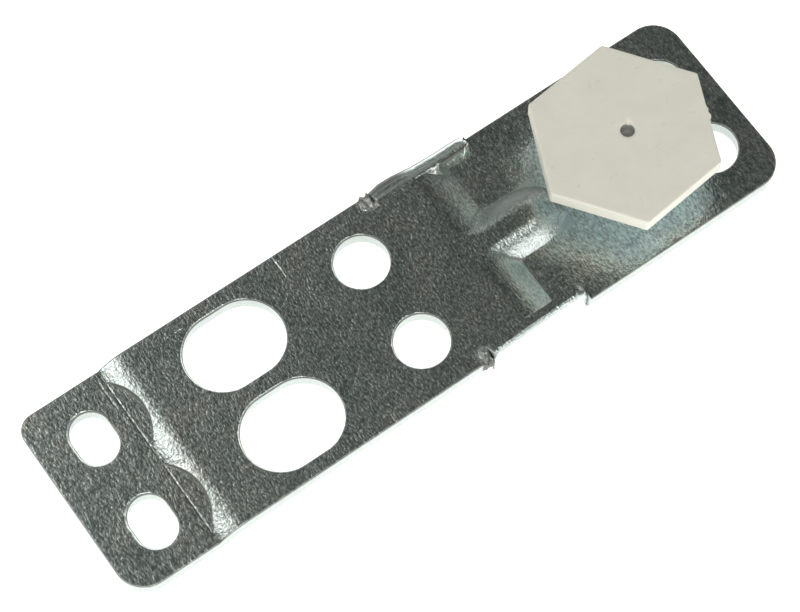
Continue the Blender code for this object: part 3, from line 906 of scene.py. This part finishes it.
# --- materials ------------------------------------------------------------------------------------
class Nodes:
    """A small helper that adds and links shader nodes."""

    def __init__(self, name):
        self.material = bpy.data.materials.new(name)
        self.material.use_nodes = True
        self.tree = self.material.node_tree
        self.shader = self.tree.nodes["Principled BSDF"]

    def add(self, kind, **values):
        """A node, with values for its own settings or for its input sockets."""
        node = self.tree.nodes.new(kind)
        for key, value in values.items():
            if hasattr(node, key):
                setattr(node, key, value)
            else:
                node.inputs[key.replace("_", " ")].default_value = value
        return node

    def link(self, source, target):
        self.tree.links.new(source, target)

    def place(self, scale=(1.0, 1.0, 1.0), turn=(0.0, 0.0, 0.0)):
        """The object's own coordinates, in metres, scaled and turned."""
        where = self.add("ShaderNodeTexCoord")
        mapping = self.add("ShaderNodeMapping")
        mapping.inputs["Scale"].default_value = scale
        mapping.inputs["Rotation"].default_value = turn
        self.link(where.outputs["Object"], mapping.inputs["Vector"])
        return mapping.outputs["Vector"]

    def noise(self, scale, detail=2.0, roughness=0.5, vector=None, distortion=0.0):
        values = {"Scale": scale, "Detail": detail, "Roughness": roughness, "Distortion": distortion}
        node = self.add("ShaderNodeTexNoise", **values)
        self.link(vector or self.place(), node.inputs["Vector"])
        return node.outputs["Fac"]

    def ramp(self, source, stops):
        node = self.add("ShaderNodeValToRGB")
        elements = node.color_ramp.elements
        while len(elements) < len(stops):
            elements.new(0.5)
        for element, (position, colour) in zip(elements, stops):
            element.position = position
            element.color = (*colour, 1.0) if isinstance(colour, tuple) else (colour, colour, colour, 1.0)
        self.link(source, node.inputs["Fac"])
        return node.outputs["Color"]

    def painted(self, name):
        """The number that paint() gave each vertex."""
        return self.add("ShaderNodeAttribute", attribute_name=name).outputs["Fac"]

    def mix(self, factor, a, b, blend="MIX"):
        """Blend a towards b; each is a colour or another node's output."""
        node = self.add("ShaderNodeMix", data_type="RGBA", blend_type=blend)
        for socket, value in ((node.inputs[0], factor), (node.inputs[6], a), (node.inputs[7], b)):
            if isinstance(value, (int, float)) and socket.type == "VALUE":
                socket.default_value = value
            elif isinstance(value, tuple):
                socket.default_value = (*value, 1.0)
            else:
                self.link(value, socket)
        return node.outputs[2]

    def bump(self, height, distance, normal=None):
        """A height of up to distance metres, on top of another bump's normal."""
        node = self.add("ShaderNodeBump", Distance=distance, Strength=1.0)
        self.link(height, node.inputs["Height"])
        if normal:
            self.link(normal, node.inputs["Normal"])
        return node.outputs["Normal"]


def zinc_material():
    n = Nodes("zinc_plated_steel")
    n.shader.inputs["Metallic"].default_value = 1.0
    # A fine, slightly drawn-out grain over patches of greenish and yellowish tint.
    fine = n.noise(1.0, 3.0, 0.62, n.place((2900, 1500, 2200)))
    coarse = n.noise(800, 2.0, 0.55)
    patches = n.noise(150, 4.0, 0.65, distortion=0.4)
    tint = n.ramp(patches, ((0.3, (0.66, 0.73, 0.71)), (0.5, (0.86, 0.93, 0.87)), (0.7, (1.0, 1.0, 0.92))))
    speck = n.ramp(fine, ((0.32, 0.36), (0.50, 0.68), (0.66, 1.0)))
    colour = n.mix(1.0, tint, speck, "MULTIPLY")
    polished = n.painted("polished")
    colour = n.mix(polished, colour, (0.60, 0.66, 0.63))
    # Dark plating where torn, and painted shade: edges, steps, the +Y slit, the rib's +Y side and the +Y lip.
    dull_and_painted_shade = n.painted("dull_and_painted_shade")
    colour = n.mix(dull_and_painted_shade, colour, (0.07, 0.068, 0.05))
    n.link(colour, n.shader.inputs["Base Color"])
    rough = n.ramp(coarse, ((0.3, 0.13), (0.7, 0.21)))
    rough = n.mix(polished, rough, (0.10, 0.10, 0.10))
    rough = n.mix(dull_and_painted_shade, rough, (0.5, 0.5, 0.5))
    n.link(rough, n.shader.inputs["Roughness"])
    n.link(n.mix(dull_and_painted_shade, (1.0, 1.0, 1.0), (0.1, 0.1, 0.1)), n.shader.inputs["Metallic"])
    scratch = n.noise(1.0, 2.0, 0.5, n.place((4200, 170, 170), (0.0, 0.0, 0.25)))
    scratch = n.ramp(scratch, ((0.66, 0.0), (0.74, 1.0)))
    normal = n.bump(coarse, 0.00008)
    normal = n.bump(fine, 0.00009, normal)
    normal = n.bump(scratch, 0.000004, normal)
    n.link(normal, n.shader.inputs["Normal"])
    return n.material


def steel_material(name, tint):
    n = Nodes(name)
    n.shader.inputs["Metallic"].default_value = 1.0
    grain = n.noise(1500, 3.0, 0.6)
    colour = n.ramp(grain, ((0.3, tuple(c * 0.85 for c in tint)), (0.7, tint)))
    n.link(colour, n.shader.inputs["Base Color"])
    rough = n.ramp(n.noise(500, 2.0), ((0.3, 0.26), (0.7, 0.42)))
    n.link(rough, n.shader.inputs["Roughness"])
    n.link(n.bump(grain, 0.000008), n.shader.inputs["Normal"])
    return n.material


def plastic_material():
    n = Nodes("foot_polyamide")
    mottle = n.noise(220, 4.0, 0.6)
    colour = n.ramp(mottle, ((0.3, (0.785, 0.765, 0.665)), (0.7, (0.82, 0.80, 0.70))))
    specks = n.ramp(n.noise(700, 2.0, 0.6), ((0.27, 0.92), (0.33, 1.0)))
    colour = n.mix(1.0, colour, specks, "MULTIPLY")
    # Painted light: a pale blue cast on the foot's underside and collar.
    underside_painted_light = n.painted("underside_painted_light")
    colour = n.mix(underside_painted_light, colour, (0.74, 0.84, 0.88))
    # Painted shade inside the gate mark.
    gate = n.painted("gate")
    colour = n.mix(gate, colour, (0.33, 0.335, 0.30))
    n.link(colour, n.shader.inputs["Base Color"])
    rough = n.ramp(mottle, ((0.3, 0.48), (0.7, 0.62)))
    n.link(rough, n.shader.inputs["Roughness"])
    n.link(n.bump(n.noise(1400, 3.0, 0.6), 0.00001), n.shader.inputs["Normal"])
    n.shader.inputs["Subsurface Weight"].default_value = 0.15
    n.shader.inputs["Subsurface Scale"].default_value = 0.001
    n.shader.inputs["Specular IOR Level"].default_value = 0.4
    return n.material


# --- studio ------------------------------------------------------------------------------------------
def make_floor():
    verts = []
    for radius in FLOOR_RINGS:
        for i in range(FLOOR_SIDES):
            angle = 2 * math.pi * i / FLOOR_SIDES
            x = FLOOR_CENTRE_X + radius * math.cos(angle)
            verts.append((x, radius * math.sin(angle), STUD_TIP - FLOOR_GAP))
    faces = [tuple(range(FLOOR_SIDES))] + ring_faces(len(FLOOR_RINGS), FLOOR_SIDES)
    floor = mesh_object("floor", verts, faces, 30)
    n = Nodes("pale_floor")
    n.shader.inputs["Base Color"].default_value = (0.86, 0.865, 0.86, 1.0)
    n.shader.inputs["Roughness"].default_value = 0.9
    n.shader.inputs["Emission Color"].default_value = (1.0, 1.0, 1.0, 1.0)
    n.shader.inputs["Emission Strength"].default_value = 1.0
    floor.data.materials.append(n.material)


def make_world():
    """A dim room with a darker patch of ceiling, behind a white backdrop."""
    world = bpy.data.worlds.new("studio")
    bpy.context.scene.world = world
    world.use_nodes = True
    tree = world.node_tree
    room = tree.nodes["Background"]
    way = tree.nodes.new("ShaderNodeTexCoord")
    dot = tree.nodes.new("ShaderNodeVectorMath")
    dot.operation = "DOT_PRODUCT"
    dot.inputs[1].default_value = Vector(DARK_WAY).normalized()
    tree.links.new(way.outputs["Generated"], dot.inputs[0])
    shade = tree.nodes.new("ShaderNodeValToRGB")
    elements = shade.color_ramp.elements
    while len(elements) < len(CEILING_LEVELS):
        elements.new(0.5)
    for element, (position, level) in zip(elements, CEILING_LEVELS):
        element.position = position
        element.color = (0.94 * level, level, 0.95 * level, 1.0)
    tree.links.new(dot.outputs["Value"], shade.inputs["Fac"])
    tree.links.new(shade.outputs["Color"], room.inputs["Color"])
    white = tree.nodes.new("ShaderNodeBackground")
    white.inputs["Color"].default_value = (1.0, 1.0, 1.0, 1.0)
    rays = tree.nodes.new("ShaderNodeLightPath")
    mix = tree.nodes.new("ShaderNodeMixShader")
    tree.links.new(rays.outputs["Is Camera Ray"], mix.inputs[0])
    tree.links.new(room.outputs[0], mix.inputs[1])
    tree.links.new(white.outputs[0], mix.inputs[2])
    tree.links.new(mix.outputs[0], tree.nodes["World Output"].inputs["Surface"])


def soft_light(name, way, distance, size, radiance):
    """A rectangular light that looks as bright at any size, aimed at the strip's middle."""
    light = bpy.data.lights.new(name, "AREA")
    light.shape = "RECTANGLE"
    light.size, light.size_y = size
    light.energy = radiance * math.pi * size[0] * size[1]
    made = bpy.data.objects.new(name, light)
    bpy.context.scene.collection.objects.link(made)
    way = Vector(way).normalized()
    made.location = Vector(AIM) + way * distance
    made.rotation_euler = way.to_track_quat("Z", "Y").to_euler()


def make_camera():
    camera = bpy.data.cameras.new("camera")
    camera.lens = CAMERA_LENS
    camera.sensor_width = 36.0
    camera.clip_start = 0.01
    made = bpy.data.objects.new("camera", camera)
    bpy.context.scene.collection.objects.link(made)
    made.location = CAMERA_PLACE
    made.rotation_euler = Euler(CAMERA_TURN)
    bpy.context.scene.camera = made


def add_piece(piece, material, body, node):
    """A finished piece, which stands for a CAD node and moves with that body."""
    piece.data.materials.append(material)
    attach(piece, body)
    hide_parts(node)


make_camera()
add_piece(bracket_mesh(), zinc_material(), "bracket_body", "bracket")
add_piece(hex_foot_mesh(), plastic_material(), "foot", "hex_foot")
add_piece(stud_mesh(), steel_material("stud_steel", STUD_TINT), "foot", "threaded_stud")
add_piece(nut_mesh(), steel_material("nut_steel", NUT_TINT), "bracket_body", "weld_nut")
make_floor()
make_world()
for light_values in LIGHTS:
    soft_light(*light_values)
bpy.context.scene.view_settings.view_transform = "Standard"
